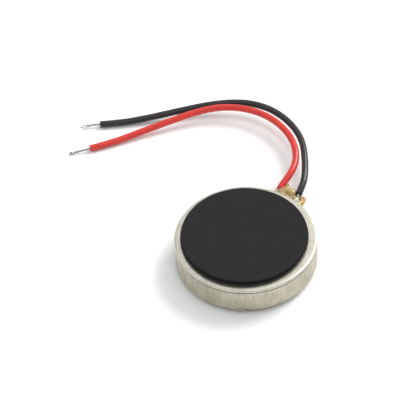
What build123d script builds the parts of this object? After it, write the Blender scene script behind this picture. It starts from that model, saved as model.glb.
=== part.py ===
"""Vibration coin motor: a flat can with an eccentric rotor, a foam mounting pad and two soldered leads.

Units are millimetres. The origin is the centre of the flat base, +Z is the motor's axis and points to
the foam pad, and +Y points along the tab where the leads are soldered.
"""

import os
from math import cos, pi, radians, sin, tan

from build123d import *

os.makedirs("parts", exist_ok=True)

# ---------------------------------------------------------------- driving dimensions
case_radius = 6.0
case_top = 2.8  # top face of the can above the base
case_wall = 0.25
rim_height = 0.45  # lower edge of the can's wall
shoulder_radius = 0.3  # rounded top edge of the can

bracket_floor = 0.3
bracket_rim_top = 0.85
bracket_rim_wall = 0.3
ear_angles = (-66.5, 32.0, 151.0)  # bracket ears around the rim, from +X
ear_span = 8.0  # degrees
ear_base = 0.15
ear_top = 0.62
notch_top = 0.70
notch_side_gaps = (0.3, 3.2)  # degrees of open notch before and after each ear

shaft_radius = 0.4
pocket_skin = 0.12  # metal left under and over the shaft's ends
running_clearance = 0.02
boss_radius = 0.75
boss_top = 0.6

film = 0.1  # thickness of the flex circuit and of the adhesive ring
copper = 0.04
strip_half_width = 1.4
tab_half_width = 1.5
tab_end = 8.45
pad_x = 0.85  # solder pads, each side of the tab's centreline

magnet_inner_radius = 2.5
magnet_outer_radius = 5.3
magnet_height = 0.7

bush_radius = 0.85
bush_bottom = 0.68
bush_top = 2.38
board_bottom = 1.25
board_height = 0.2
board_radius = 5.0
commutator_height = 0.03
coil_height = 0.6
weight_height = 0.8
weight_inner_radius = 3.45
weight_outer_radius = 5.3
weight_half_angle = 75.0
coil_angles = (20.0, 160.0)
coil_half_angle = 28.0
coil_radii = (2.0, 4.85)
coil_window_radii = (2.85, 4.1)
commutator_radii = (1.0, 2.0)

foam_adhesive_height = 0.05
foam_top = 3.3
foam_base_radius = 5.34
foam_top_radius = 5.32
foam_edge_radius = 0.06
foam_centre = (-0.10, -0.05)  # the pad is laid on by hand, a little off the axis

lead_radius = 0.3
conductor_radius = 0.12

# ---------------------------------------------------------------- heights worked out from them
flex_bottom = bracket_floor
flex_top = flex_bottom + film
magnet_top = flex_top + magnet_height
board_top = board_bottom + board_height
cup_inner_radius = case_radius - case_wall
cup_ceiling = case_top - case_wall
washer_inner_radius = shaft_radius + running_clearance

# ---------------------------------------------------------------- routes of the leads
# Each list runs from the solder pad to the stripped end, point by point.
red_route = [
    (-0.99, 8.07, 0.76),
    (-0.91, 8.78, 0.96),
    (-0.78, 9.68, 1.17),
    (-0.90, 10.89, 1.33),
    (-1.43, 12.11, 1.42),
    (-2.48, 13.36, 1.45),
    (-3.87, 14.31, 1.44),
    (-5.46, 14.93, 1.42),
    (-7.12, 15.08, 1.39),
    (-8.71, 14.81, 1.36),
    (-10.22, 14.17, 1.28),
    (-11.68, 13.07, 1.11),
    (-13.19, 11.46, 0.86),
    (-14.86, 9.51, 0.58),
    (-16.47, 7.46, 0.39),
    (-17.48, 6.27, 0.34),
    (-18.44, 5.24, 0.32),
]
black_route = [
    (0.76, 8.26, 0.74),
    (0.71, 8.90, 0.91),
    (0.55, 9.75, 1.07),
    (0.12, 10.77, 1.17),
    (-0.62, 12.17, 1.22),
    (-1.62, 13.69, 1.24),
    (-2.94, 14.86, 1.24),
    (-4.59, 15.72, 1.23),
    (-6.29, 16.13, 1.21),
    (-8.01, 16.01, 1.17),
    (-9.56, 15.45, 1.10),
    (-11.33, 14.39, 0.95),
    (-13.09, 13.00, 0.76),
    (-15.05, 11.32, 0.55),
    (-16.87, 9.83, 0.39),
    (-18.06, 9.01, 0.34),
    (-19.19, 8.27, 0.32),
]
red_bare_end = [(-18.44, 5.24, 0.32), (-18.90, 4.78, 0.27), (-19.40, 4.38, 0.19), (-19.87, 3.97, 0.14)]
black_bare_end = [(-19.19, 8.27, 0.32), (-19.72, 8.01, 0.27), (-20.20, 7.62, 0.24), (-20.63, 7.18, 0.26)]
red_tail = [(-0.99, 8.07, 0.76), (-0.94, 7.49, 0.56)]
black_tail = [(0.76, 8.26, 0.74), (0.79, 7.67, 0.54)]


# ---------------------------------------------------------------- helpers
def polar(radius, angle):
    """A point at a radius and an angle in degrees from +X."""
    return (radius * cos(radians(angle)), radius * sin(radians(angle)))


def sector(inner, outer, start, end):
    """A flat ring sector between two radii and two angles, to be added to a sketch."""
    middle = (start + end) / 2
    with BuildSketch(Plane.XY, mode=Mode.PRIVATE) as outline:
        with BuildLine():
            ThreePointArc(polar(outer, start), polar(outer, middle), polar(outer, end))
            Line(polar(outer, end), polar(inner, end))
            ThreePointArc(polar(inner, end), polar(inner, middle), polar(inner, start))
            Line(polar(inner, start), polar(outer, start))
        make_face()
    return outline.sketch


def corner_radii(points):
    """The largest arc that the two runs at each corner of a route leave room for."""
    radii = []
    for before, here, after in zip(points, points[1:], points[2:]):
        arriving = Vector(*here) - Vector(*before)
        leaving = Vector(*after) - Vector(*here)
        turn = radians(arriving.get_angle(leaving))
        radii.append(0.45 * min(arriving.length, leaving.length) / tan(turn / 2))
    return radii


def tube(points, radius):
    """A round solid along straight runs joined by tangent arcs."""
    with BuildPart() as body:
        with BuildLine() as path:
            if len(points) > 2:
                FilletPolyline(*points, radius=corner_radii(points))
            else:
                Line(*points)
        route = path.wire()
        with BuildSketch(Plane(origin=route @ 0, z_dir=route % 0)):
            Circle(radius)
        sweep(path=route)
    length = route.length
    share = body.part.volume / (pi * radius**2 * length)
    smallest = min(corner_radii(points), default=0)
    print(f"length {length:.2f}, smallest arc {smallest:.2f}, volume over section x length {share:.4f}")
    return body.part


def save(piece, name):
    """Labels a finished piece and writes its file."""
    piece.label = name
    export_step(piece, f"parts/{name}.step")


# ---------------------------------------------------------------- can
with BuildPart() as case_cup:
    with BuildSketch(Plane.XY.offset(rim_height)):
        Circle(case_radius)
    extrude(amount=case_top - rim_height)
    fillet(case_cup.faces().sort_by(Axis.Z)[-1].edges(), shoulder_radius)
    with BuildSketch(Plane.XY.offset(rim_height)):
        Circle(cup_inner_radius)
    extrude(amount=cup_ceiling - rim_height, mode=Mode.SUBTRACT)
    with BuildSketch(Plane.XY.offset(cup_ceiling)):
        Circle(shaft_radius)
    extrude(amount=case_wall - pocket_skin, mode=Mode.SUBTRACT)
    for angle in ear_angles:
        notch_start = angle - ear_span / 2 - notch_side_gaps[0]
        notch_end = angle + ear_span / 2 + notch_side_gaps[1]
        with BuildSketch(Plane.XY.offset(rim_height)):
            add(sector(cup_inner_radius - 0.1, case_radius + 0.1, notch_start, notch_end))
        extrude(amount=notch_top - rim_height, mode=Mode.SUBTRACT)
save(case_cup.part, "case_cup")

# ---------------------------------------------------------------- bracket that closes the can
with BuildPart() as bottom_bracket:
    with BuildSketch(Plane.XZ):
        with BuildLine():
            Polyline(
                (0, 0),
                (cup_inner_radius, 0),
                (cup_inner_radius, bracket_rim_top),
                (cup_inner_radius - bracket_rim_wall, bracket_rim_top),
                (cup_inner_radius - bracket_rim_wall, bracket_floor),
                (boss_radius, bracket_floor),
                (boss_radius, boss_top),
                (0, boss_top),
                close=True,
            )
        make_face()
    revolve(axis=Axis.Z)
    fillet(bottom_bracket.faces().sort_by(Axis.Z)[0].edges(), 0.12)
    with BuildSketch(Plane.XY.offset(pocket_skin)):
        Circle(shaft_radius)
    extrude(amount=boss_top - pocket_skin, mode=Mode.SUBTRACT)
    with BuildSketch(Plane.XY.offset(bracket_floor)):
        with Locations((0, cup_inner_radius - bracket_rim_wall / 2)):
            Rectangle(2 * (strip_half_width + 0.05), 1.0)
    extrude(amount=bracket_rim_top - bracket_floor, mode=Mode.SUBTRACT)
    for angle in ear_angles:
        root_radius = cup_inner_radius - 0.1
        with BuildSketch(Plane.XY.offset(ear_base)):
            with BuildLine():
                Polyline(
                    polar(root_radius, angle - ear_span / 2),
                    polar(case_radius, angle - ear_span / 2),
                    polar(case_radius, angle + ear_span / 2),
                    polar(root_radius, angle + ear_span / 2),
                    close=True,
                )
            make_face()
        extrude(amount=ear_top - ear_base)
save(bottom_bracket.part, "bottom_bracket")

# ---------------------------------------------------------------- fixed shaft
with BuildPart() as shaft:
    with BuildSketch(Plane.XY.offset(pocket_skin)):
        Circle(shaft_radius)
    extrude(amount=case_top - 2 * pocket_skin)
    chamfer(shaft.edges().filter_by(GeomType.CIRCLE), 0.05)
save(shaft.part, "shaft")

# ---------------------------------------------------------------- ring magnet and what holds it
with BuildPart() as ring_magnet:
    with BuildSketch(Plane.XY.offset(flex_top)):
        Circle(magnet_outer_radius)
        Circle(magnet_inner_radius, mode=Mode.SUBTRACT)
    extrude(amount=magnet_height)
    chamfer(ring_magnet.edges().filter_by(GeomType.CIRCLE), 0.05)
save(ring_magnet.part, "ring_magnet")

with BuildPart() as magnet_adhesive:
    with BuildSketch(Plane.XY.offset(flex_bottom)):
        Circle(magnet_outer_radius - 0.1)
        Circle(magnet_inner_radius + 0.1, mode=Mode.SUBTRACT)
        with Locations((0, magnet_outer_radius / 2)):
            Rectangle(2 * (strip_half_width + 0.1), magnet_outer_radius, mode=Mode.SUBTRACT)
    extrude(amount=film)
save(magnet_adhesive.part, "magnet_adhesive")

# ---------------------------------------------------------------- flexible circuit
flex_disc_radius = 2.3
strip_end = cup_inner_radius + 0.6
with BuildPart() as flex_circuit:
    with BuildSketch(Plane.XY.offset(flex_bottom)) as flex_outline:
        Circle(flex_disc_radius)
        with Locations((0, strip_end / 2)):
            Rectangle(2 * strip_half_width, strip_end)
        with Locations((0, (strip_end + tab_end) / 2)):
            Rectangle(2 * tab_half_width, tab_end - strip_end)
        fillet(flex_outline.vertices().group_by(Axis.Y)[-1], 0.3)
        Circle(boss_radius + 0.05, mode=Mode.SUBTRACT)
    extrude(amount=film - copper)
save(flex_circuit.part, "flex_circuit")

brush_x = 1.15
pad_start = 7.0
pad_end = 8.2
for name, side in (("positive_trace", -1), ("negative_trace", 1)):
    with BuildPart() as trace_piece:
        with BuildSketch(Plane.XY.offset(flex_top - copper)):
            with Locations((side * 1.2, 1.15)):
                Rectangle(0.6, 1.1)
            with Locations((side * 1.1, (1.2 + pad_start) / 2)):
                Rectangle(0.4, pad_start - 1.2)
            with Locations((side * pad_x, (pad_start + pad_end) / 2)):
                Rectangle(1.0, pad_end - pad_start)
        extrude(amount=copper)
    save(trace_piece.part, name)

# ---------------------------------------------------------------- brushes
brush_thickness = 0.06
brush_half_width = 0.15
brush_foot = (1.62, 0.95)  # from its far end to the bend
brush_touch = (-0.70, -0.95)  # where it lies against the commutator
brush_tip = -1.20
brush_tip_drop = 0.12
brush_contact = board_bottom - commutator_height - running_clearance - brush_thickness / 2
for name, side in (("positive_brush", -1), ("negative_brush", 1)):
    with BuildPart() as brush:
        with BuildSketch(Plane.YZ.offset(side * brush_x)):
            with BuildLine():
                foot_height = flex_top + brush_thickness / 2
                Polyline(
                    (brush_foot[0], foot_height),
                    (brush_foot[1], foot_height),
                    (brush_touch[0], brush_contact),
                    (brush_touch[1], brush_contact),
                    (brush_tip, brush_contact - brush_tip_drop),
                )
            trace(line_width=brush_thickness)
        extrude(amount=brush_half_width, both=True)
    save(brush.part, name)

# ---------------------------------------------------------------- bearing of the rotor
for name, bottom, top in (
    ("lower_washer", boss_top, bush_bottom - running_clearance),
    ("upper_washer", bush_top + running_clearance, cup_ceiling),
):
    with BuildPart() as washer:
        with BuildSketch(Plane.XY.offset(bottom)):
            Circle(bush_radius)
            Circle(washer_inner_radius, mode=Mode.SUBTRACT)
        extrude(amount=top - bottom)
    save(washer.part, name)

with BuildPart() as bearing_bush:
    with BuildSketch(Plane.XY.offset(bush_bottom)):
        Circle(bush_radius)
        Circle(washer_inner_radius, mode=Mode.SUBTRACT)
    extrude(amount=bush_top - bush_bottom)
save(bearing_bush.part, "bearing_bush")

# ---------------------------------------------------------------- rotor
with BuildPart() as rotor_board:
    with BuildSketch(Plane.XY.offset(board_bottom)):
        Circle(board_radius)
        Circle(bush_radius, mode=Mode.SUBTRACT)
    extrude(amount=board_height)
save(rotor_board.part, "rotor_board")

segment_count = 6
segment_half_angle = 26.0
with BuildPart() as commutator:
    with BuildSketch(Plane.XY.offset(board_bottom - commutator_height)):
        for index in range(segment_count):
            middle = index * 360 / segment_count
            add(sector(*commutator_radii, middle - segment_half_angle, middle + segment_half_angle))
    extrude(amount=commutator_height)
save(commutator.part, "commutator")

for name, angle in zip(("coil_right", "coil_left"), coil_angles):
    with BuildPart() as coil:
        with BuildSketch(Plane.XY.offset(board_top)) as outer_outline:
            add(sector(*coil_radii, angle - coil_half_angle, angle + coil_half_angle))
            fillet(outer_outline.vertices(), 0.35)
        extrude(amount=coil_height)
        with BuildSketch(Plane.XY.offset(board_top)) as window:
            add(sector(*coil_window_radii, angle - coil_half_angle / 2, angle + coil_half_angle / 2))
            fillet(window.vertices(), 0.15)
        extrude(amount=coil_height, mode=Mode.SUBTRACT)
    save(coil.part, name)

weight_start = -90 - weight_half_angle
weight_end = -90 + weight_half_angle
with BuildPart() as counterweight:
    with BuildSketch(Plane.XY.offset(board_top)) as weight_outline:
        add(sector(weight_inner_radius, weight_outer_radius, weight_start, weight_end))
        fillet(weight_outline.vertices(), 0.2)
    extrude(amount=weight_height)
save(counterweight.part, "counterweight")

hub_radius = 1.7
hub_gap = 0.08  # below the bush's top
web_half_angle = 38.0
web_radius = 4.7
web_height = 0.25
with BuildPart() as rotor_moulding:
    with BuildSketch(Plane.XY.offset(board_top)):
        Circle(hub_radius)
        Circle(bush_radius, mode=Mode.SUBTRACT)
    extrude(amount=bush_top - hub_gap - board_top)
    with BuildSketch(Plane.XY.offset(board_top)):
        add(sector(hub_radius - 0.1, weight_inner_radius, weight_start, weight_end))
    extrude(amount=coil_height)
    with BuildSketch(Plane.XY.offset(board_top)):
        add(sector(hub_radius - 0.1, web_radius, 90 - web_half_angle, 90 + web_half_angle))
    extrude(amount=web_height)
save(rotor_moulding.part, "rotor_moulding")

# ---------------------------------------------------------------- foam mounting pad
with BuildPart() as foam_adhesive:
    with BuildSketch(Plane.XY.offset(case_top)):
        with Locations(foam_centre):
            Circle(foam_base_radius)
    extrude(amount=foam_adhesive_height)
save(foam_adhesive.part, "foam_adhesive")

with BuildPart() as foam_pad:
    with BuildSketch(Plane.XY.offset(case_top + foam_adhesive_height)):
        with Locations(foam_centre):
            Circle(foam_base_radius)
    with BuildSketch(Plane.XY.offset(foam_top)):
        with Locations(foam_centre):
            Circle(foam_top_radius)
    loft()
    fillet(foam_pad.faces().sort_by(Axis.Z)[-1].edges(), foam_edge_radius)
save(foam_pad.part, "foam_pad")

# ---------------------------------------------------------------- leads
red_lead = tube(red_route, lead_radius)
black_lead = tube(black_route, lead_radius)
save(red_lead, "red_lead")
save(black_lead, "black_lead")

red_tail_wire = tube(red_tail, conductor_radius)
black_tail_wire = tube(black_tail, conductor_radius)
for name, tail, points in (
    ("red_conductor", red_tail_wire, red_bare_end),
    ("black_conductor", black_tail_wire, black_bare_end),
):
    bare_end = tube(points, conductor_radius)
    with BuildPart() as conductor:
        add(tail)
        add(bare_end)
    save(conductor.part, name)

# ---------------------------------------------------------------- solder and glue on the tab
solder_y = 7.6
solder_radius = 0.5
solder_height = 0.42
solder_joints = []
for name, side, tail in (
    ("red_solder_joint", -1, red_tail_wire),
    ("black_solder_joint", 1, black_tail_wire),
):
    with BuildPart() as solder:
        with BuildSketch(Plane.XY.offset(flex_top)):
            with Locations((side * pad_x, solder_y)):
                Circle(solder_radius)
        extrude(amount=solder_height)
        fillet(solder.faces().sort_by(Axis.Z)[-1].edges(), 0.3)
        add(tail, mode=Mode.SUBTRACT)
        add(red_lead if side < 0 else black_lead, mode=Mode.SUBTRACT)
    solder_joints.append(solder.part)
    save(solder.part, name)

glue_left = -1.45
glue_right = 0.5
glue_start = 7.0
glue_end = 8.55
glue_top = 1.2
with BuildPart() as glue_bead:
    with BuildSketch(Plane.XY.offset(flex_top)) as glue_outline:
        with Locations(((glue_left + glue_right) / 2, (glue_start + glue_end) / 2)):
            Rectangle(glue_right - glue_left, glue_end - glue_start)
        fillet(glue_outline.vertices(), 0.45)
    extrude(amount=glue_top - flex_top)
    fillet(glue_bead.faces().sort_by(Axis.Z)[-1].edges(), 0.35)
    for buried in (red_lead, black_lead, red_tail_wire, black_tail_wire, *solder_joints):
        add(buried, mode=Mode.SUBTRACT)
save(glue_bead.part, "glue_bead")
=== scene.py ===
"""Looks of the vibration coin motor: camera, leads, detailed meshes, materials, floor and studio light.

Lengths are metres, and MM turns the millimetres that the sizes are written in into metres.
"""

import math

import bmesh
import bpy
from mathutils import Matrix, Vector, noise


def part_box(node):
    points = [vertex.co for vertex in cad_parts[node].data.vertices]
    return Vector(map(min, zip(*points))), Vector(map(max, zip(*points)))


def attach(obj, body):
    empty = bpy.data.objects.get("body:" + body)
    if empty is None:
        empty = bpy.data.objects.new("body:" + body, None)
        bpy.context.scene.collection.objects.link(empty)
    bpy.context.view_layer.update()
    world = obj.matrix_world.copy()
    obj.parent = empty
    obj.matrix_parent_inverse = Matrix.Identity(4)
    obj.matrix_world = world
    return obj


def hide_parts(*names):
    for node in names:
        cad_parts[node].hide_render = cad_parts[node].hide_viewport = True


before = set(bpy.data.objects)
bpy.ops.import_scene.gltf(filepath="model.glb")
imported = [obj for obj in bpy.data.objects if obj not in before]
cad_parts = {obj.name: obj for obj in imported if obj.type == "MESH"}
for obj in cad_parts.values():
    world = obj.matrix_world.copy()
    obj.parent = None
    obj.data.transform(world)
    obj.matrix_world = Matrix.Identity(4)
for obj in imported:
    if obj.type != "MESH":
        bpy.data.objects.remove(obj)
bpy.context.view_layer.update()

MM = 0.001
BODY = "motor_body"

# Main sizes, in millimetres. Those that the frame holds are read from it.
CASE_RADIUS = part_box("case_cup")[1][0] / MM
CASE_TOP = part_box("case_cup")[1][2] / MM
CASE_WALL = 0.25
CUP_INNER_RADIUS = CASE_RADIUS - CASE_WALL
RIM_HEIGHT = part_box("case_cup")[0][2] / MM
NOTCH_TOP = 0.645
EAR_ANGLES = (-66.5, 32.0, 151.0)
EAR_HALF_SPAN = 4.0  # degrees
FOAM_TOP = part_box("foam_pad")[1][2] / MM
FOAM_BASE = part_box("foam_pad")[0][2] / MM
FOAM_CENTRE = (-0.10, -0.05)
FLEX_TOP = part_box("positive_trace")[1][2] / MM
SHOULDER_RADIUS = 0.19
GROOVE_DEPTH = 0.24  # of the line between the can's shoulder and its wall, below the can's top


# ---------------------------------------------------------------- camera
def make_camera():
    """The camera stands at the photo's angle and looks a little past the motor, towards the leads."""
    azimuth = math.radians(29.0)
    elevation = math.radians(48.0)
    roll = math.radians(1.45)
    distance = 180.0
    aim_right = -3.91
    aim_up = 5.076
    level = math.cos(elevation)
    forward = Vector((-math.sin(azimuth) * level, math.cos(azimuth) * level, -math.sin(elevation)))
    level_right = Vector((math.cos(azimuth), math.sin(azimuth), 0.0))
    level_up = level_right.cross(forward)
    right = level_right * math.cos(roll) - level_up * math.sin(roll)
    up = level_right * math.sin(roll) + level_up * math.cos(roll)
    place = -forward * distance
    target = right * aim_right + up * aim_up
    back = (place - target).normalized()
    right = (right - back * right.dot(back)).normalized()
    up = back.cross(right)
    data = bpy.data.cameras.new("camera")
    data.sensor_width = 36.0
    data.lens = 191.7
    data.clip_start = 0.01
    data.clip_end = 10.0
    camera = bpy.data.objects.new("camera", data)
    rotation = Matrix((right, up, back)).transposed().to_4x4()
    camera.matrix_world = Matrix.Translation(place * MM) @ rotation
    bpy.context.scene.collection.objects.link(camera)
    bpy.context.scene.camera = camera


make_camera()


# ---------------------------------------------------------------- mesh helpers
def new_object(name, verts, faces, smooth_angle=35.0):
    """A mesh object from points in millimetres, shaded smooth up to an angle between its faces."""
    mesh = bpy.data.meshes.new(name)
    mesh.from_pydata([tuple(c * MM for c in v) for v in verts], [], faces)
    mesh.validate()
    work = bmesh.new()
    work.from_mesh(mesh)
    bmesh.ops.recalc_face_normals(work, faces=work.faces)
    work.to_mesh(mesh)
    work.free()
    mesh.shade_smooth()
    mesh.set_sharp_from_angle(angle=math.radians(smooth_angle))
    piece = bpy.data.objects.new(name, mesh)
    bpy.context.scene.collection.objects.link(piece)
    return piece


def lathe(profile, columns, centre=(0.0, 0.0)):
    """Points and faces of a profile turned about the Z axis.

    A profile point is (radius, height, lift). A column is (angle in degrees, raise), and the raise times a
    point's lift is added to the point's height there. A radius of 0 is a pole, and a profile that starts away
    from the axis closes on itself.
    """
    verts, faces, rows = [], [], []
    for radius, height, lift in profile:
        if radius == 0:
            rows.append([len(verts)] * len(columns))
            verts.append((centre[0], centre[1], height))
            continue
        row = []
        for angle, raised in columns:
            turn = math.radians(angle)
            x = centre[0] + radius * math.cos(turn)
            y = centre[1] + radius * math.sin(turn)
            row.append(len(verts))
            verts.append((x, y, height + raised * lift))
        rows.append(row)
    pairs = list(zip(rows, rows[1:]))
    if profile[0][0] != 0:
        pairs.append((rows[-1], rows[0]))
    count = len(columns)
    for lower, upper in pairs:
        for i in range(count):
            j = (i + 1) % count
            face = [lower[i], lower[j], upper[j], upper[i]]
            face = [v for k, v in enumerate(face) if v != face[k - 1]]
            if len(face) > 2:
                faces.append(face)
    return verts, faces


def even_columns(count):
    """Columns at equal angles, with no notches."""
    return [(360.0 * i / count, 0.0) for i in range(count)]


def notched_columns(count, notches, raised):
    """Columns round a rim with upright-sided notches, each given by its first and last angle."""
    clearance = 0.3  # degrees, kept free of other columns on each side of a notch's edge
    sliver = 1e-4
    columns = []
    for i in range(count):
        angle = 360.0 * i / count - 180.0
        inside = any(start < angle < end for start, end in notches)
        beside = any(abs(angle - side) < clearance for notch in notches for side in notch)
        if not beside:
            columns.append((angle, raised if inside else 0.0))
    for start, end in notches:
        columns += [(start, 0.0), (start + sliver, raised), (end - sliver, raised), (end, 0.0)]
    return sorted(columns)


def arc(centre, radius, start, end, steps):
    """Profile points along a round stretch, from one angle to another in degrees."""
    points = []
    for i in range(steps + 1):
        turn = math.radians(start + (end - start) * i / steps)
        points.append((centre[0] + radius * math.cos(turn), centre[1] + radius * math.sin(turn), 0.0))
    return points


def ease(value):
    """A smooth step from 0 to 1."""
    value = min(1.0, max(0.0, value))
    return value * value * (3.0 - 2.0 * value)


# ---------------------------------------------------------------- routes of the leads
class Route:
    """The smooth line that a lead follows, read from one NURBS spline through its route's points."""

    def __init__(self, points):
        curve = bpy.data.curves.new("route", "CURVE")
        curve.dimensions = "3D"
        curve.resolution_u = 16
        spline = curve.splines.new("NURBS")
        spline.points.add(len(points) - 1)
        for point, place in zip(spline.points, points):
            point.co = (*place, 1.0)
        spline.order_u = 3
        spline.use_endpoint_u = True
        holder = bpy.data.objects.new("route", curve)
        mesh = bpy.data.meshes.new_from_object(holder)
        self.line = [v.co.copy() for v in mesh.vertices]
        bpy.data.meshes.remove(mesh)
        bpy.data.objects.remove(holder)
        bpy.data.curves.remove(curve)
        self.along = [0.0]
        for a, b in zip(self.line, self.line[1:]):
            self.along.append(self.along[-1] + (b - a).length)
        self.length = self.along[-1]
        self.frames = []
        side = Vector((0.0, 0.0, 1.0))
        for i in range(len(self.line)):
            ahead = self.line[min(i + 1, len(self.line) - 1)]
            behind = self.line[max(i - 1, 0)]
            tangent = (ahead - behind).normalized()
            side = (side - tangent * side.dot(tangent)).normalized()
            self.frames.append((tangent, side.copy()))

    def at(self, distance):
        """Place, direction, up side and level side of the line at a distance along it."""
        distance = min(max(distance, 0.0), self.length)
        i = 0
        while i < len(self.along) - 2 and self.along[i + 1] < distance:
            i += 1
        share = (distance - self.along[i]) / (self.along[i + 1] - self.along[i])
        place = self.line[i].lerp(self.line[i + 1], share)
        tangent = self.frames[i][0].lerp(self.frames[i + 1][0], share).normalized()
        side = self.frames[i][1].lerp(self.frames[i + 1][1], share)
        side = (side - tangent * side.dot(tangent)).normalized()
        return place, tangent, side, tangent.cross(side)

    def nearest(self, place):
        """How far along the line its nearest point to a place is."""
        place = Vector(place)
        best = min(range(len(self.line)), key=lambda i: (self.line[i] - place).length)
        return self.along[best]


def add_tube(verts, faces, route, stations, sides, offset=None):
    """Adds a closed tube along a route. A station is (distance, radius), in millimetres.

    The offset gives, for a distance, how far the tube stands off the route and which way round it, in radians.
    """
    first = len(verts)
    for distance, radius in stations:
        place, _, side, level = route.at(distance)
        if offset is not None:
            out, turn = offset(distance)
            place = place + side * (out * math.cos(turn)) + level * (out * math.sin(turn))
        for k in range(sides):
            turn = 2.0 * math.pi * k / sides
            verts.append(tuple(place + side * (radius * math.cos(turn)) + level * (radius * math.sin(turn))))
    for row in range(len(stations) - 1):
        for k in range(sides):
            a = first + row * sides + k
            b = first + row * sides + (k + 1) % sides
            faces.append([a, b, b + sides, a + sides])
    faces.append(list(range(first, first + sides)))
    last = first + (len(stations) - 1) * sides
    faces.append(list(range(last, last + sides)))


RED_TAIL = [(-0.94, 7.49, 0.56)]
RED_ROUTE = [
    (-0.99, 8.07, 0.76),
    (-0.91, 8.78, 0.96),
    (-0.78, 9.68, 1.17),
    (-0.90, 10.89, 1.33),
    (-1.43, 12.11, 1.42),
    (-2.48, 13.36, 1.45),
    (-3.87, 14.31, 1.44),
    (-5.46, 14.93, 1.42),
    (-7.12, 15.08, 1.39),
    (-8.71, 14.81, 1.36),
    (-10.22, 14.17, 1.28),
    (-11.68, 13.07, 1.11),
    (-13.19, 11.46, 0.86),
    (-14.86, 9.51, 0.58),
    (-16.47, 7.46, 0.39),
    (-17.48, 6.27, 0.34),
    (-18.44, 5.24, 0.32),
]
RED_BARE_END = [(-18.90, 4.78, 0.27), (-19.40, 4.38, 0.19), (-19.87, 3.97, 0.14)]
BLACK_TAIL = [(0.79, 7.67, 0.54)]
BLACK_ROUTE = [
    (0.76, 8.26, 0.74),
    (0.71, 8.90, 0.91),
    (0.55, 9.75, 1.07),
    (0.12, 10.77, 1.17),
    (-0.62, 12.17, 1.22),
    (-1.62, 13.69, 1.24),
    (-2.94, 14.86, 1.24),
    (-4.59, 15.72, 1.23),
    (-6.29, 16.13, 1.21),
    (-8.01, 16.01, 1.17),
    (-9.56, 15.45, 1.10),
    (-11.33, 14.39, 0.95),
    (-13.09, 13.00, 0.76),
    (-15.05, 11.32, 0.55),
    (-16.87, 9.83, 0.39),
    (-18.06, 9.01, 0.34),
    (-19.19, 8.27, 0.32),
]
BLACK_BARE_END = [(-19.72, 8.01, 0.27), (-20.20, 7.62, 0.24), (-20.63, 7.18, 0.26)]


# ---------------------------------------------------------------- materials
def new_material(name, **sockets):
    """A material with one Principled shader, and constants set on its sockets."""
    material = bpy.data.materials.new(name)
    material.use_nodes = True
    shader = material.node_tree.nodes["Principled BSDF"]
    for socket, value in sockets.items():
        key = socket.replace("_", " ")
        shader.inputs[key].default_value = (*value, 1.0) if isinstance(value, tuple) else value
    return material, material.node_tree, shader


def node(tree, kind, **settings):
    """A new node of a kind, with its settings."""
    made = tree.nodes.new(kind)
    for key, value in settings.items():
        setattr(made, key, value)
    return made


def object_point(tree):
    """The place on the piece, in metres."""
    return node(tree, "ShaderNodeTexCoord").outputs["Object"]


def plug(tree, slot, value):
    """Sets a socket to a number or a colour, or links it to another node's output."""
    if isinstance(value, tuple):
        slot.default_value = (*value, 1.0)
    elif isinstance(value, (int, float)):
        slot.default_value = value
    else:
        tree.links.new(value, slot)


def maths(tree, operation, first, second=None):
    """The result of one sum on one or two values."""
    made = node(tree, "ShaderNodeMath", operation=operation)
    plug(tree, made.inputs[0], first)
    if second is not None:
        plug(tree, made.inputs[1], second)
    return made.outputs[0]


def weigh(tree, first, first_weight, second, second_weight):
    """The sum of two values, each times its weight."""
    return maths(
        tree,
        "ADD",
        maths(tree, "MULTIPLY", first, first_weight),
        maths(tree, "MULTIPLY", second, second_weight),
    )


def split(tree, vector):
    """The three parts of a vector."""
    made = node(tree, "ShaderNodeSeparateXYZ")
    tree.links.new(vector, made.inputs[0])
    return made.outputs


def combine(tree, x, y, z):
    """A vector of three values."""
    made = node(tree, "ShaderNodeCombineXYZ")
    for slot, value in zip(made.inputs, (x, y, z)):
        plug(tree, slot, value)
    return made.outputs[0]


def noise_texture(tree, vector, scale, detail, roughness=0.6):
    """Noise from 0 to 1, with its scale in waves a metre."""
    made = node(tree, "ShaderNodeTexNoise")
    made.inputs["Scale"].default_value = scale
    made.inputs["Detail"].default_value = detail
    made.inputs["Roughness"].default_value = roughness
    tree.links.new(vector, made.inputs["Vector"])
    return made.outputs["Fac"]


def ramp(tree, value, stops):
    """Colour by a value: stops are (place, (r, g, b))."""
    made = node(tree, "ShaderNodeValToRGB")
    elements = made.color_ramp.elements
    while len(elements) < len(stops):
        elements.new(0.5)
    for element, (place, colour) in zip(elements, stops):
        element.position = place
        element.color = (*colour, 1.0)
    tree.links.new(value, made.inputs[0])
    return made.outputs[0]


def remap(tree, value, low, high, to_low, to_high):
    """A value moved from one range to another and held within it."""
    made = node(tree, "ShaderNodeMapRange")
    for key, number in (("From Min", low), ("From Max", high), ("To Min", to_low), ("To Max", to_high)):
        made.inputs[key].default_value = number
    tree.links.new(value, made.inputs["Value"])
    return made.outputs[0]


def bump(tree, shader, height, strength, distance):
    """Makes a height, up to a distance in millimetres, show as relief."""
    made = node(tree, "ShaderNodeBump")
    made.inputs["Strength"].default_value = strength
    made.inputs["Distance"].default_value = distance * MM
    tree.links.new(height, made.inputs["Height"])
    tree.links.new(made.outputs[0], shader.inputs["Normal"])


def mix_colour(tree, factor, first, second, blend="MIX"):
    """Two colours mixed, or multiplied, by a factor."""
    made = node(tree, "ShaderNodeMix", data_type="RGBA", blend_type=blend)
    for place, value in ((0, factor), (6, first), (7, second)):
        plug(tree, made.inputs[place], value)
    return made.outputs[2]


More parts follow.
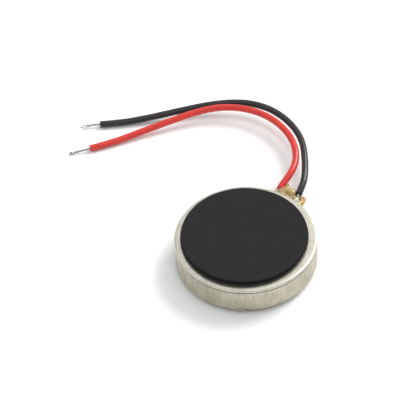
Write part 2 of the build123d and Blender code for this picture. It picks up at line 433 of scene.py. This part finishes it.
def can_metal(name, light, dark):
    """Nickel-plated drawn steel: fine upright draw lines on the wall, a smoother shoulder, painted shade that
    darkens the wall below the groove, and a painted dark shade line in the groove.
    """
    material, tree, shader = new_material(name, Metallic=1.0, Roughness=0.4)
    point = object_point(tree)
    x, y, z = split(tree, point)
    angle = maths(tree, "ARCTAN2", y, x)
    height = maths(tree, "MULTIPLY", z, 22.0)
    drawn = combine(tree, maths(tree, "COSINE", angle), maths(tree, "SINE", angle), height)
    lines = noise_texture(tree, drawn, 34.0, 4.0, 0.62)
    fine = noise_texture(tree, drawn, 120.0, 2.0)
    cloudy = noise_texture(tree, point, 900.0, 3.0, 0.55)
    streaks = weigh(tree, lines, 0.6, fine, 0.4)
    mottled = weigh(tree, streaks, 0.65, cloudy, 0.35)
    plate = ramp(tree, mottled, [(0.38, dark), (0.61, light)])
    groove = CASE_TOP - GROOVE_DEPTH
    wall = remap(tree, z, (groove - 0.06) * MM, (groove + 0.06) * MM, 1.0, 0.0)
    # The wall below the groove is darkened by a multiplied tint: painted shade, as the upright wall takes less
    # light than the shoulder and top.
    plate_with_painted_wall_shade = mix_colour(tree, wall, plate, (0.80, 0.78, 0.73), "MULTIPLY")
    # Near-black mixed in along the groove: painted shade in the crease under the shoulder.
    away = maths(tree, "ABSOLUTE", maths(tree, "SUBTRACT", z, groove * MM))
    painted_groove_shade = remap(tree, away, 0.03 * MM, 0.075 * MM, 0.95, 0.0)
    tree.links.new(mix_colour(tree, painted_groove_shade, plate_with_painted_wall_shade, (0.05, 0.046, 0.036)), shader.inputs["Base Color"])
    wall_rough = remap(tree, mottled, 0.3, 0.7, 0.50, 0.38)
    shoulder = remap(tree, z, (CASE_TOP - 0.36) * MM, (CASE_TOP - 0.22) * MM, 0.0, 0.15)
    tree.links.new(maths(tree, "SUBTRACT", wall_rough, shoulder), shader.inputs["Roughness"])
    bump(tree, shader, maths(tree, "MULTIPLY", streaks, wall), 0.15, 0.006)
    return material


def foam_material():
    """Dull closed-cell foam: fine cells, a slight bloom on its skin and a darker cut edge."""
    material, tree, shader = new_material("foam", Roughness=0.95)
    shader.inputs["Specular IOR Level"].default_value = 0.25
    point = object_point(tree)
    _, _, z = split(tree, point)
    cells = node(tree, "ShaderNodeTexVoronoi", feature="F1")
    cells.inputs["Scale"].default_value = 11000.0
    tree.links.new(point, cells.inputs["Vector"])
    bloom = noise_texture(tree, point, 700.0, 5.0)
    skin = ramp(tree, bloom, [(0.3, (0.014, 0.014, 0.014)), (0.7, (0.018, 0.018, 0.0182))])
    cut = remap(tree, z, (FOAM_TOP - 0.09) * MM, (FOAM_TOP - 0.02) * MM, 0.0, 1.0)
    colour = mix_colour(tree, cut, (0.006, 0.006, 0.006), skin)
    # Darker towards the pits of the cells, where the bump sinks: painted shade in the pores.
    pores = remap(tree, cells.outputs["Distance"], 0.0, 0.6, 0.72, 1.0)
    shaded = mix_colour(tree, 0.5, colour, combine(tree, pores, pores, pores), "MULTIPLY")
    tree.links.new(shaded, shader.inputs["Base Color"])
    bump(tree, shader, cells.outputs["Distance"], 0.6, 0.03)
    return material


def insulation(name, light, dark, roughness):
    """Soft extruded insulation: a faint mottle, handling marks and a satin gloss."""
    material, tree, shader = new_material(name, Roughness=roughness, IOR=1.5)
    point = object_point(tree)
    mottle = noise_texture(tree, point, 1500.0, 4.0)
    tree.links.new(ramp(tree, mottle, [(0.3, dark), (0.7, light)]), shader.inputs["Base Color"])
    rubbed = noise_texture(tree, point, 5200.0, 3.0)
    rough = remap(tree, rubbed, 0.3, 0.7, roughness - 0.06, roughness + 0.12)
    tree.links.new(rough, shader.inputs["Roughness"])
    bump(tree, shader, mottle, 0.15, 0.01)
    return material


def plain_metal(name, light, dark, roughness, scale, depth):
    """A metal with a small-scale variation of colour, gloss and height."""
    material, tree, shader = new_material(name, Metallic=1.0, Roughness=roughness)
    point = object_point(tree)
    grain = noise_texture(tree, point, scale, 4.0)
    tree.links.new(ramp(tree, grain, [(0.32, dark), (0.68, light)]), shader.inputs["Base Color"])
    rough = remap(tree, grain, 0.3, 0.7, roughness + 0.10, roughness - 0.06)
    tree.links.new(rough, shader.inputs["Roughness"])
    bump(tree, shader, grain, 0.4, depth)
    return material


def plain_plastic(name, light, dark, roughness, scale, depth):
    """A resin or film with a small-scale variation of colour, gloss and height."""
    material, tree, shader = new_material(name, Roughness=roughness)
    point = object_point(tree)
    grain = noise_texture(tree, point, scale, 4.0)
    tree.links.new(ramp(tree, grain, [(0.32, dark), (0.68, light)]), shader.inputs["Base Color"])
    rough = remap(tree, grain, 0.3, 0.7, roughness + 0.08, roughness - 0.08)
    tree.links.new(rough, shader.inputs["Roughness"])
    bump(tree, shader, grain, 0.35, depth)
    return material


def clear_resin(name, light, dark, transmission, roughness):
    """See-through amber: cloudy inside, glossy outside."""
    material, tree, shader = new_material(name, Roughness=roughness, IOR=1.5)
    shader.inputs["Transmission Weight"].default_value = transmission
    point = object_point(tree)
    cloud = noise_texture(tree, point, 2600.0, 3.0)
    tree.links.new(ramp(tree, cloud, [(0.35, dark), (0.65, light)]), shader.inputs["Base Color"])
    ripple = noise_texture(tree, point, 4200.0, 2.0, 0.5)
    bump(tree, shader, ripple, 0.3, 0.03)
    return material


def wound_wire(name):
    """Enamelled copper winding, seen as fine level ridges, darker in the dips between turns by painted shade.
    """
    material, tree, shader = new_material(name, Metallic=0.85, Roughness=0.32)
    point = object_point(tree)
    turns = node(tree, "ShaderNodeTexWave", wave_type="BANDS", bands_direction="Z")
    turns.inputs["Scale"].default_value = 2600.0
    turns.inputs["Distortion"].default_value = 0.6
    tree.links.new(point, turns.inputs["Vector"])
    # Darker in the dips between the turns, where the bump sinks: painted shade.
    colour = ramp(tree, turns.outputs["Fac"], [(0.1, (0.30, 0.09, 0.03)), (0.9, (0.80, 0.34, 0.16))])
    tree.links.new(colour, shader.inputs["Base Color"])
    bump(tree, shader, turns.outputs["Fac"], 0.6, 0.02)
    return material


CAN = can_metal("can_steel", (0.71, 0.685, 0.595), (0.50, 0.475, 0.40))
# Darker tones than the can's steel: painted shade for the shaded band under the can's rim.
BRACKET = can_metal("bracket_steel", (0.56, 0.535, 0.455), (0.44, 0.415, 0.345))
FOAM = foam_material()
RED = insulation("red_insulation", (0.66, 0.036, 0.026), (0.52, 0.020, 0.014), 0.24)
BLACK = insulation("black_insulation", (0.017, 0.018, 0.017), (0.009, 0.009, 0.009), 0.24)
TINNED = plain_metal("tinned_wire", (0.46, 0.46, 0.45), (0.26, 0.26, 0.26), 0.24, 9000.0, 0.012)
SOLDER = plain_metal("solder", (0.86, 0.82, 0.66), (0.60, 0.56, 0.42), 0.20, 3200.0, 0.025)
GLUE = clear_resin("glue", (0.78, 0.62, 0.32), (0.60, 0.42, 0.16), 0.5, 0.14)
FLEX = clear_resin("flex_film", (0.66, 0.45, 0.15), (0.54, 0.34, 0.09), 0.4, 0.24)
CLEAR = clear_resin("clear_glue", (0.97, 0.96, 0.92), (0.90, 0.88, 0.80), 0.6, 0.12)
COPPER = plain_metal("trace_copper", (0.86, 0.52, 0.34), (0.66, 0.36, 0.21), 0.30, 4200.0, 0.010)
MOULDING = plain_plastic("moulding", (0.055, 0.055, 0.06), (0.035, 0.035, 0.04), 0.46, 4200.0, 0.010)
TAPE = plain_plastic("foam_tape", (0.045, 0.045, 0.045), (0.028, 0.028, 0.028), 0.5, 2600.0, 0.01)

# Finished materials of the CAD pieces that stay.
NODE_MATERIALS = {
    "shaft": plain_metal("shaft_steel", (0.80, 0.80, 0.80), (0.66, 0.66, 0.66), 0.16, 7000.0, 0.004),
    "ring_magnet": plain_metal("magnet", (0.17, 0.17, 0.18), (0.10, 0.10, 0.11), 0.38, 2500.0, 0.012),
    "magnet_adhesive": plain_plastic("adhesive", (0.72, 0.70, 0.60), (0.60, 0.57, 0.46), 0.5, 1800.0, 0.02),
    "flex_circuit": FLEX,
    "positive_trace": COPPER,
    "negative_trace": COPPER,
    "lower_washer": plain_plastic("washer_film", (0.86, 0.84, 0.78), (0.78, 0.75, 0.68), 0.42, 3000.0, 0.006),
    "rotor_board": plain_plastic("board", (0.07, 0.30, 0.15), (0.04, 0.22, 0.10), 0.40, 1600.0, 0.008),
    "commutator": plain_metal("commutator_gold", (0.95, 0.76, 0.38), (0.80, 0.60, 0.26), 0.22, 5200.0, 0.006),
    "counterweight": plain_metal("tungsten", (0.34, 0.34, 0.35), (0.22, 0.22, 0.23), 0.48, 5200.0, 0.03),
    "rotor_moulding": MOULDING,
    "bearing_bush": plain_metal("bush_bronze", (0.70, 0.50, 0.26), (0.50, 0.33, 0.15), 0.40, 6200.0, 0.016),
    "coil_left": wound_wire("coil_wire"),
    "foam_adhesive": TAPE,
    "positive_brush": plain_metal("brush_alloy", (0.88, 0.74, 0.46), (0.70, 0.56, 0.32), 0.28, 5200.0, 0.006),
}
NODE_MATERIALS["upper_washer"] = NODE_MATERIALS["lower_washer"]
NODE_MATERIALS["coil_right"] = NODE_MATERIALS["coil_left"]
NODE_MATERIALS["negative_brush"] = NODE_MATERIALS["positive_brush"]


def paint_node(name, material):
    """Gives a CAD piece that stays its finished material."""
    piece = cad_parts[name]
    for slot in piece.material_slots:
        slot.material = material
    if not piece.material_slots:
        piece.data.materials.append(material)


def dress(piece, materials, replaced=()):
    """Gives a new piece its materials, hangs it on the fixed body, and hides the CAD nodes that it stands for.
    """
    for material in materials:
        piece.data.materials.append(material)
    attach(piece, BODY)
    if replaced:
        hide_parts(*replaced)


# ---------------------------------------------------------------- leads
LEAD_RADIUS = 0.30
STRAND_RADIUS = 0.030
STRAND_COUNT = 6
WINDING_RADIUS = 0.062
WINDING_TURN = 3.4  # radians a millimetre
CORE_RADIUS = 0.080
CORE_SHARE_INSIDE = 0.35  # of its radius, where the insulation hides it
EYE_LENGTH = 0.60
EYE_HALF_WIDTH = 0.15
ARM_RADIUS = 0.042


def add_insulation(verts, faces, route, start, strip, seed):
    """Adds the insulation, with soft cut ends that dip in towards the strands."""
    steps = 220
    stations = [(start, 0.10), (start, 0.27), (start + 0.03, 0.298)]
    for i in range(steps + 1):
        distance = start + 0.08 + (strip - start - 0.20) * i / steps
        waver = noise.noise(Vector((distance * 0.9, seed, 0.0))) * 0.005
        stations.append((distance, LEAD_RADIUS + waver))
    stations += [
        (strip - 0.05, 0.303),
        (strip, 0.290),
        (strip + 0.01, 0.25),
        (strip - 0.03, 0.13),
        (strip - 0.05, 0.10),
    ]
    add_tube(verts, faces, route, stations, 32)


def add_core(verts, faces, route, start, strip, end):
    """Adds the middle strand, thicker where it is bare, as solder fills the gaps round it there."""
    count = 240
    stations = []
    for i in range(count + 1):
        distance = end * i / count
        inside = start + 0.3 < distance < strip - 0.3
        stations.append((distance, CORE_RADIUS * (CORE_SHARE_INSIDE if inside else 1.0)))
    add_tube(verts, faces, route, stations, 12)


def add_eye(verts, faces, route):
    """Adds the two arms that a lead's strands part into round a small open eye at the tip."""
    start = route.length - EYE_LENGTH
    count = 20
    stations = [(start + EYE_LENGTH * i / count, ARM_RADIUS) for i in range(count + 1)]
    for way in (-1.0, 1.0):

        def bowed(distance, way=way):
            share = (distance - start) / EYE_LENGTH
            return EYE_HALF_WIDTH * math.sin(math.pi * share), way * math.pi / 2.0

        add_tube(verts, faces, route, stations, 12, bowed)


def add_strands(verts, faces, route, start, end, seed):
    """Adds the outer strands, wound round the middle one."""
    count = 60
    stations = [(start + (end - start) * i / count, STRAND_RADIUS) for i in range(count + 1)]
    for k in range(STRAND_COUNT):
        phase = 2.0 * math.pi * k / STRAND_COUNT

        def wound(distance, phase=phase):
            spread = 1.0 + 0.12 * noise.noise(Vector((distance * 2.0, seed + phase, 1.0)))
            return WINDING_RADIUS * spread, phase + distance * WINDING_TURN

        add_tube(verts, faces, route, stations, 8, wound)


def add_tinning(verts, faces, route, start, end, core, swell, seed):
    """Adds a lump of solder round the strands, swollen towards its far end and closed round there."""
    count = 28
    rounding = 0.62
    stations = []
    for i in range(count + 1):
        share = i / count
        closing = max(0.0, (share - rounding) / (1.0 - rounding))
        round_off = math.sqrt(max(0.0, 1.0 - closing**2))
        lump = 0.010 * noise.noise(Vector((share * 5.0, seed, 5.0)))
        stations.append((start + (end - start) * share, core + swell * ease(share * 1.6) * round_off + lump))
    add_tube(verts, faces, route, stations, 20)


def make_lead(name, tail, insulated, bare, seed, eyed, material):
    """A stranded lead: insulation with its middle strand in one piece, and the outer strands in another."""
    route = Route(tail + insulated + bare)
    start = route.nearest(insulated[0])
    strip = route.nearest(insulated[-1])
    tip = route.length
    wound_end = tip - EYE_LENGTH if eyed else tip

    verts, faces = [], []
    add_insulation(verts, faces, route, start, strip, seed)
    covered = len(faces)
    add_core(verts, faces, route, start, strip, wound_end)
    if eyed:
        add_eye(verts, faces, route)
    lead = new_object(f"{name}_lead_insulated", verts, faces)
    for polygon in lead.data.polygons[covered:]:
        polygon.material_index = 1
    dress(lead, [material, TINNED], [f"{name}_lead"])

    verts, faces = [], []
    add_strands(verts, faces, route, 0.0, start + 0.2, seed)
    add_strands(verts, faces, route, strip - 0.25, wound_end, seed)
    if eyed:
        add_tinning(verts, faces, route, wound_end - 0.42, wound_end + 0.03, 0.050, 0.070, seed)
        add_tinning(verts, faces, route, tip - 0.14, tip, 0.030, 0.055, seed)
    else:
        add_tinning(verts, faces, route, tip - 0.52, tip, 0.050, 0.078, seed)
    strands = new_object(f"{name}_lead_strands", verts, faces)
    dress(strands, [TINNED], [f"{name}_conductor"])


make_lead("red", RED_TAIL, RED_ROUTE, RED_BARE_END, 3.0, False, RED)
make_lead("black", BLACK_TAIL, BLACK_ROUTE, BLACK_BARE_END, 8.0, True, BLACK)


# ---------------------------------------------------------------- can
def make_can():
    """The drawn cup: a flat top, a rolled shoulder with a groove under it, and a notched rim."""
    gap_before, gap_after = 0.3, 3.2
    notches = [(a - EAR_HALF_SPAN - gap_before, a + EAR_HALF_SPAN + gap_after) for a in EAR_ANGLES]
    columns = notched_columns(288, notches, NOTCH_TOP - RIM_HEIGHT)
    groove = CASE_TOP - SHOULDER_RADIUS - 0.01
    rim = RIM_HEIGHT
    ceiling = CASE_TOP - CASE_WALL
    pocket_radius = 0.40
    pocket_top = CASE_TOP - 0.12
    profile = [(0.0, CASE_TOP, 0.0), (1.2, CASE_TOP, 0.0), (3.4, CASE_TOP, 0.0), (5.2, CASE_TOP, 0.0)]
    shoulder_centre = (CASE_RADIUS - SHOULDER_RADIUS, CASE_TOP - SHOULDER_RADIUS)
    profile += arc(shoulder_centre, SHOULDER_RADIUS, 90.0, 2.0, 12)
    profile += [
        (CASE_RADIUS - 0.010, groove, 0.0),
        (CASE_RADIUS - 0.055, groove - 0.022, 0.0),
        (CASE_RADIUS - 0.060, groove - 0.055, 0.0),
        (CASE_RADIUS - 0.012, groove - 0.085, 0.0),
        (CASE_RADIUS - 0.004, groove - 0.14, 0.0),
        (CASE_RADIUS - 0.006, 1.9, 0.0),
        (CASE_RADIUS - 0.002, 1.3, 0.0),
        (CASE_RADIUS, 0.9, 0.1),
        (CASE_RADIUS, rim + 0.08, 0.9),
        (CASE_RADIUS - 0.012, rim + 0.022, 1.0),
        (CASE_RADIUS - 0.04, rim, 1.0),
        (CUP_INNER_RADIUS + 0.03, rim, 1.0),
        (CUP_INNER_RADIUS, rim + 0.03, 1.0),
        (CUP_INNER_RADIUS, 1.2, 0.0),
        (CUP_INNER_RADIUS, ceiling - 0.1, 0.0),
        (CUP_INNER_RADIUS - 0.03, ceiling - 0.03, 0.0),
        (CUP_INNER_RADIUS - 0.1, ceiling, 0.0),
        (pocket_radius, ceiling, 0.0),
        (pocket_radius, pocket_top, 0.0),
        (0.0, pocket_top, 0.0),
    ]
    verts, faces = lathe(profile, columns)
    dress(new_object("can_shell", verts, faces), [CAN], ["case_cup"])


def make_bracket():
    """The plate that closes the can: a shallow dish, a boss for the shaft, and ears in the rim's notches."""
    outer = CUP_INNER_RADIUS
    inner = outer - 0.30
    plate_top = 0.30
    wall_top = 0.85
    boss_radius = 0.75
    boss_top = 0.60
    hole_radius = 0.41
    hole_floor = 0.12
    profile = [
        (0.0, 0.0, 0.0),
        (2.6, 0.0, 0.0),
        (outer - 0.14, 0.0, 0.0),
        (outer - 0.06, 0.02, 0.0),
        (outer - 0.015, 0.07, 0.0),
        (outer, 0.15, 0.0),
        (outer, wall_top - 0.02, 0.0),
        (outer - 0.02, wall_top, 0.0),
        (inner + 0.02, wall_top, 0.0),
        (inner, wall_top - 0.02, 0.0),
        (inner, plate_top, 0.0),
        (boss_radius + 0.05, plate_top, 0.0),
        (boss_radius, plate_top + 0.05, 0.0),
        (boss_radius, boss_top, 0.0),
        (hole_radius, boss_top, 0.0),
        (hole_radius, hole_floor, 0.0),
        (0.0, hole_floor, 0.0),
    ]
    verts, faces = lathe(profile, even_columns(240))
    for angle in EAR_ANGLES:
        add_ear(verts, faces, angle)
    dress(new_object("bracket_plate", verts, faces), [BRACKET], ["bottom_bracket"])


def add_ear(verts, faces, angle):
    """A small lug of the bracket, bent up flush with the can's wall."""
    first = len(verts)
    inner, outer = CUP_INNER_RADIUS - 0.1, CASE_RADIUS
    low, high, soft = 0.36, 0.62, 0.03
    section = [
        (inner, low),
        (outer - soft, low),
        (outer, low + soft),
        (outer, high - soft),
        (outer - soft, high),
        (inner, high),
    ]
    steps = 8
    for i in range(steps + 1):
        turn = math.radians(angle + EAR_HALF_SPAN * (2.0 * i / steps - 1.0))
        trim = soft if i in (0, steps) else 0.0
        for radius, height in section:
            reach = min(radius, outer - trim)
            verts.append((reach * math.cos(turn), reach * math.sin(turn), height))
    size = len(section)
    for i in range(steps):
        for k in range(size):
            a = first + i * size + k
            b = first + i * size + (k + 1) % size
            faces.append([a, b, b + size, a + size])
    faces.append(list(range(first, first + size)))
    faces.append(list(range(first + steps * size, first + (steps + 1) * size)))


def make_foam():
    """The die-cut pad: a slightly uneven skin, a soft rounded edge and sides that bulge a little."""
    base, top = 5.34, 5.32
    edge = 0.07
    rings = 30
    side_steps = 7
    profile = [((top - edge) * i / rings, FOAM_TOP, 0.0) for i in range(rings + 1)]
    profile += arc((top - edge, FOAM_TOP - edge), edge, 82.0, 8.0, 7)
    for i in range(1, side_steps):
        share = i / side_steps
        bulge = 0.03 * math.sin(math.pi * share)
        height = FOAM_TOP - edge - (FOAM_TOP - edge - FOAM_BASE) * share
        profile.append((top + (base - top) * share + bulge, height, 0.0))
    profile += [(base, FOAM_BASE, 0.0), (0.0, FOAM_BASE, 0.0)]
    verts, faces = lathe(profile, even_columns(256), FOAM_CENTRE)
    uneven = []
    for x, y, z in verts:
        if z > FOAM_BASE + 0.01:
            broad = noise.noise(Vector((x * 0.35, y * 0.35, 2.0))) * 0.010
            small = noise.noise(Vector((x * 3.0, y * 3.0, z * 3.0))) * 0.006
            z = min(FOAM_TOP, z - 0.006 + broad + small)
            reach = 1.0 + noise.noise(Vector((x * 1.6, y * 1.6, z * 4.0))) * 0.0022
            x, y = x * reach, y * reach
        uneven.append((x, y, z))
    foam = new_object("foam_disc", uneven, faces, 60.0)
    dress(foam, [FOAM], ["foam_pad"])


make_can()
make_bracket()
make_foam()


# ---------------------------------------------------------------- solder and glue on the tab
def blob(name, lumps, voxel, smoothing):
    """One closed mesh round several ellipsoids. A lump is (centre, radii, turn about Z in degrees)."""
    verts, faces = [], []
    for centre, radii, turn in lumps:
        work = bmesh.new()
        bmesh.ops.create_icosphere(work, subdivisions=4, radius=1.0)
        spin = Matrix.Rotation(math.radians(turn), 3, "Z")
        first = len(verts)
        for v in work.verts:
            local = spin @ Vector((v.co.x * radii[0], v.co.y * radii[1], v.co.z * radii[2]))
            verts.append(tuple(local + Vector(centre)))
        faces += [[first + v.index for v in f.verts] for f in work.faces]
        work.free()
    piece = new_object(name, verts, faces, 180.0)
    remesh = piece.modifiers.new("remesh", "REMESH")
    remesh.mode = "VOXEL"
    remesh.voxel_size = voxel * MM
    smooth = piece.modifiers.new("smooth", "SMOOTH")
    smooth.iterations = smoothing
    smooth.factor = 0.5
    graph = bpy.context.evaluated_depsgraph_get()
    mesh = bpy.data.meshes.new_from_object(piece.evaluated_get(graph))
    piece.modifiers.clear()
    piece.data = mesh
    mesh.shade_smooth()
    return piece


def settle(piece, floor):
    """Flattens what lies under a height, so that a drop sits on its surface."""
    for v in piece.data.vertices:
        if v.co.z < floor * MM:
            v.co.z = floor * MM
    piece.data.update()


def make_solder(name, x, lean, node_name, spill=()):
    """A solder joint: a wide foot on its pad, a peak, and a tail along the lead."""
    lumps = [
        ((x, 7.60, FLEX_TOP + 0.02), (0.50, 0.55, 0.10), 0.0),
        ((x, 7.61, FLEX_TOP + 0.10), (0.36, 0.40, 0.20), lean),
        ((x + 0.02, 7.65, FLEX_TOP + 0.22), (0.22, 0.30, 0.20), lean),
        ((x + 0.03, 7.87, FLEX_TOP + 0.16), (0.16, 0.34, 0.13), lean),
        *spill,
    ]
    piece = blob(name, lumps, voxel=0.022, smoothing=6)
    settle(piece, FLEX_TOP)
    dress(piece, [SOLDER], [node_name])


def make_glue(name, lumps, voxel, smoothing, floor, material, replaced=()):
    """A lump of cured glue that sits on the tab."""
    piece = blob(name, lumps, voxel, smoothing)
    settle(piece, floor)
    dress(piece, [material], replaced)


make_solder("red_solder", -0.90, 4.0, "red_solder_joint")
BLACK_SPILL = ((0.54, 7.92, 0.56), (0.13, 0.38, 0.15), 51.0)
make_solder("black_solder", 0.80, -6.0, "black_solder_joint", [BLACK_SPILL])

make_glue(
    "glue_drop",
    [
        ((-0.62, 7.95, 0.56), (0.50, 0.62, 0.46), 10.0),
        ((-0.36, 8.22, 0.70), (0.42, 0.44, 0.42), 0.0),
        ((-0.43, 8.48, 0.98), (0.15, 0.20, 0.24), 0.0),
        ((0.04, 8.26, 0.56), (0.48, 0.46, 0.34), -12.0),
        ((0.36, 8.52, 0.50), (0.42, 0.18, 0.16), 8.0),
        ((-0.30, 7.52, 0.46), (0.62, 0.54, 0.24), 0.0),
        ((-0.02, 7.82, 0.44), (0.94, 0.76, 0.16), 0.0),
    ],
    voxel=0.03,
    smoothing=12,
    floor=FLEX_TOP - 0.04,
    material=GLUE,
    replaced=["glue_bead"],
)
make_glue(
    "glue_ridge",
    [
        ((1.30, 7.42, 0.41), (0.09, 0.26, 0.08), 8.0),
        ((1.25, 7.72, 0.44), (0.11, 0.30, 0.12), 12.0),
        ((1.12, 8.06, 0.49), (0.13, 0.26, 0.17), 20.0),
        ((0.98, 8.26, 0.50), (0.15, 0.15, 0.16), 0.0),
    ],
    voxel=0.025,
    smoothing=6,
    floor=FLEX_TOP - 0.06,
    material=GLUE,
)


def make_flake():
    """A thin curled flake of clear glue at the tab's left corner."""
    left, start = -1.84, 7.68
    length = 0.86
    thickness = 0.025
    across, along = 10, 16
    verts, faces = [], []
    for side in (0, 1):
        for i in range(along + 1):
            for j in range(across + 1):
                u, v = i / along, j / across
                x = left + 0.30 * u + 0.26 * v * (1.0 - 0.5 * u)
                y = start + length * u
                curl = 0.10 * (1.0 - v) ** 2 * math.sin(math.pi * (0.25 + 0.6 * u))
                uneven = 0.02 * noise.noise(Vector((x * 4.0, y * 4.0, 0.0)))
                verts.append((x, y, FLEX_TOP - 0.05 + curl + uneven + thickness * side))
    width = across + 1
    layer = width * (along + 1)
    for i in range(along):
        for j in range(across):
            a = i * width + j
            quad = [a, a + 1, a + 1 + width, a + width]
            faces.append(quad)
            faces.append([layer + k for k in quad])
    border = [i * width for i in range(along)]
    border += [along * width + j for j in range(across)]
    border += [(along - i) * width + across for i in range(along)]
    border += [across - j for j in range(across)]
    for a, b in zip(border, border[1:] + border[:1]):
        faces.append([a, b, layer + b, layer + a])
    flake = new_object("glue_flake", verts, faces, 60.0)
    dress(flake, [CLEAR])


make_glue(
    "glue_clear",
    [
        ((-1.18, 7.72, 0.42), (0.34, 0.62, 0.20), 4.0),
        ((-1.12, 7.95, 0.50), (0.30, 0.38, 0.30), 0.0),
    ],
    voxel=0.03,
    smoothing=8,
    floor=FLEX_TOP - 0.05,
    material=CLEAR,
)
make_flake()

for name, material in NODE_MATERIALS.items():
    paint_node(name, material)


# ---------------------------------------------------------------- floor and light
def make_stage():
    """A wide near-white floor under the motor."""
    half = 1.0
    mesh = bpy.data.meshes.new("floor")
    corners = [(-half, -half, 0.0), (half, -half, 0.0), (half, half, 0.0), (-half, half, 0.0)]
    mesh.from_pydata(corners, [], [[0, 1, 2, 3]])
    floor = bpy.data.objects.new("floor", mesh)
    bpy.context.scene.collection.objects.link(floor)
    material, _, shader = new_material("floor", Roughness=0.9)
    shader.inputs["Base Color"].default_value = (0.93, 0.945, 0.94, 1.0)
    shader.inputs["Specular IOR Level"].default_value = 0.2
    mesh.materials.append(material)


def area_light(name, place, size, power, colour=(1.0, 1.0, 1.0)):
    """A square soft light that faces the motor. Place and size are in millimetres."""
    data = bpy.data.lights.new(name, "AREA")
    data.shape = "SQUARE"
    data.size = size * MM
    data.energy = power
    data.color = colour
    light = bpy.data.objects.new(name, data)
    spot = Vector(place) * MM
    light.matrix_world = Matrix.Translation(spot) @ spot.to_track_quat("Z", "Y").to_matrix().to_4x4()
    bpy.context.scene.collection.objects.link(light)


def make_light():
    """A white surround that darkens towards the horizon, and a large warm key light behind the motor."""
    world = bpy.data.worlds.new("world")
    world.use_nodes = True
    tree = world.node_tree
    background = tree.nodes["Background"]
    _, _, height = split(tree, node(tree, "ShaderNodeTexCoord").outputs["Generated"])
    horizon, low_sky, high_sky = (0.50, 0.51, 0.52), (0.66, 0.67, 0.68), (0.98, 0.99, 1.0)
    sky = ramp(tree, height, [(0.0, horizon), (0.35, low_sky), (0.75, high_sky)])
    tree.links.new(sky, background.inputs["Color"])
    background.inputs["Strength"].default_value = 1.0
    bpy.context.scene.world = world
    area_light("key", (75.0, 225.0, 225.0), 170.0, 0.85, (1.0, 0.985, 0.955))
    bpy.context.scene.view_settings.view_transform = "Standard"


make_stage()
make_light()
